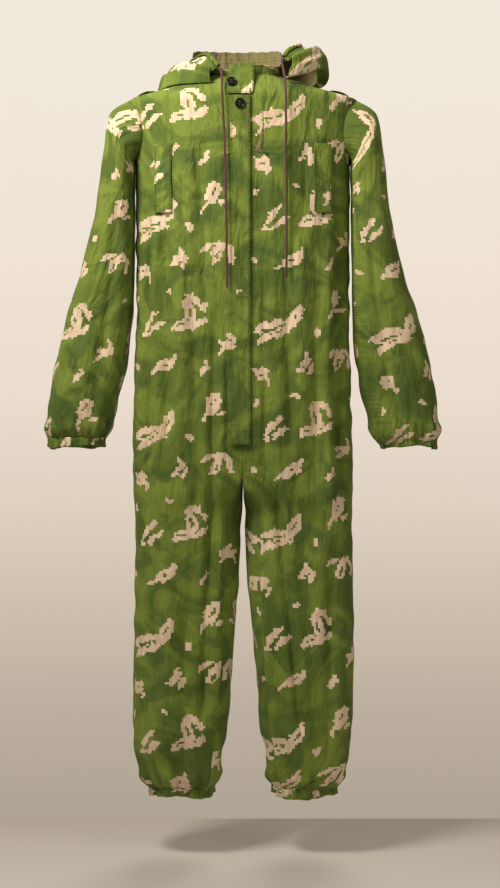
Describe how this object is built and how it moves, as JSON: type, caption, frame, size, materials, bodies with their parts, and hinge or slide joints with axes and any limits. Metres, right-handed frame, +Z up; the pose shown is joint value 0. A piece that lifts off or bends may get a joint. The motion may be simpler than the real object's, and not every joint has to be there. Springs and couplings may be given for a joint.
{
  "type": "hooded camouflage coverall",
  "caption": "One-piece hooded coverall with a button placket, drawcord hood laid back, gathered sleeves and legs, and strips and loops for foliage, hanging by its shoulders.",
  "frame": {"origin": "centre of the neck base, at the height where the collar meets the shoulder seams", "axes": "+Z up along the body towards the hood, +Y to the wearer's back, +X to the wearer's left"},
  "size_m": [0.8404, 0.2345, 1.5736],
  "materials": {
    "camouflage_cotton": "matt plain-weave cotton, green print with beige pixel-edged blotches",
    "khaki_reverse": "matt unprinted khaki reverse of the same cotton",
    "elastic_braid": "woven elastic tape",
    "horn_plastic": "black four-hole buttons, satin",
    "maroon_lace": "faded maroon cotton lace"
  },
  "bodies": {
    "torso": {"front_right": "camouflage_cotton", "front_left": "camouflage_cotton", "back_right": "camouflage_cotton", "back_left": "camouflage_cotton", "crotch_gusset": "camouflage_cotton", "fly_underlap": "khaki_reverse", "placket_head": "camouflage_cotton", "placket_foot": "camouflage_cotton", "fly_button_1": "horn_plastic", "fly_button_2": "horn_plastic", "fly_button_3": "horn_plastic", "fly_button_4": "horn_plastic", "fly_button_5": "horn_plastic", "placket_button": "horn_plastic", "collar_right": "camouflage_cotton", "collar_left": "camouflage_cotton", "chin_tab": "camouflage_cotton", "collar_button": "horn_plastic", "chest_strip_right": "camouflage_cotton", "chest_strip_left": "camouflage_cotton", "shoulder_loop_right": "camouflage_cotton", "shoulder_loop_left": "camouflage_cotton", "cowl_right": "camouflage_cotton", "cowl_left": "camouflage_cotton", "hood_casing_right": "camouflage_cotton", "hood_casing_left": "camouflage_cotton", "hood_drawcord": "maroon_lace", "drawcord_right": "maroon_lace", "drawcord_left": "maroon_lace", "hood_neck_band_right": "khaki_reverse", "hood_neck_band_left": "khaki_reverse", "hood_tape": "khaki_reverse"},
    "hood": {"hood_right": "camouflage_cotton", "hood_left": "camouflage_cotton"},
    "placket": {"placket_flap": "camouflage_cotton"},
    "right_sleeve": {"right_sleeve_front": "camouflage_cotton", "right_sleeve_back": "camouflage_cotton", "right_cuff_hem": "camouflage_cotton", "right_cuff_elastic": "elastic_braid"},
    "right_leg": {"right_leg_front": "camouflage_cotton", "right_leg_back": "camouflage_cotton", "right_ankle_hem": "camouflage_cotton", "right_ankle_elastic": "elastic_braid"},
    "left_sleeve": {"left_sleeve_front": "camouflage_cotton", "left_sleeve_back": "camouflage_cotton", "left_cuff_hem": "camouflage_cotton", "left_cuff_elastic": "elastic_braid"},
    "left_leg": {"left_leg_front": "camouflage_cotton", "left_leg_back": "camouflage_cotton", "left_ankle_hem": "camouflage_cotton", "left_ankle_elastic": "elastic_braid"}
  },
  "joints": [
    {"name": "right_sleeve_raise", "type": "hinge", "parent": "torso", "child": "right_sleeve", "pos_m": [-0.24, 0, -0.11], "axis": [0, 1, 0], "range_deg": [0, 80]},
    {"name": "left_sleeve_raise", "type": "hinge", "parent": "torso", "child": "left_sleeve", "pos_m": [0.24, 0, -0.11], "axis": [0, -1, 0], "range_deg": [0, 80]},
    {"name": "right_leg_swing", "type": "hinge", "parent": "torso", "child": "right_leg", "pos_m": [-0.1153, 0, -0.91757], "axis": [-1, 0, 0], "range_deg": [-15, 45]},
    {"name": "left_leg_swing", "type": "hinge", "parent": "torso", "child": "left_leg", "pos_m": [0.1153, 0, -0.91757], "axis": [-1, 0, 0], "range_deg": [-15, 45]},
    {"name": "hood_lift", "type": "hinge", "parent": "torso", "child": "hood", "pos_m": [0, 0.1261, -0.0016], "axis": [1, 0, 0], "range_deg": [0, 120]},
    {"name": "placket_lift", "type": "hinge", "parent": "torso", "child": "placket", "pos_m": [0.015, -0.1004, -0.4105], "axis": [0, 0, 1], "range_deg": [0, 110]}
  ]
}
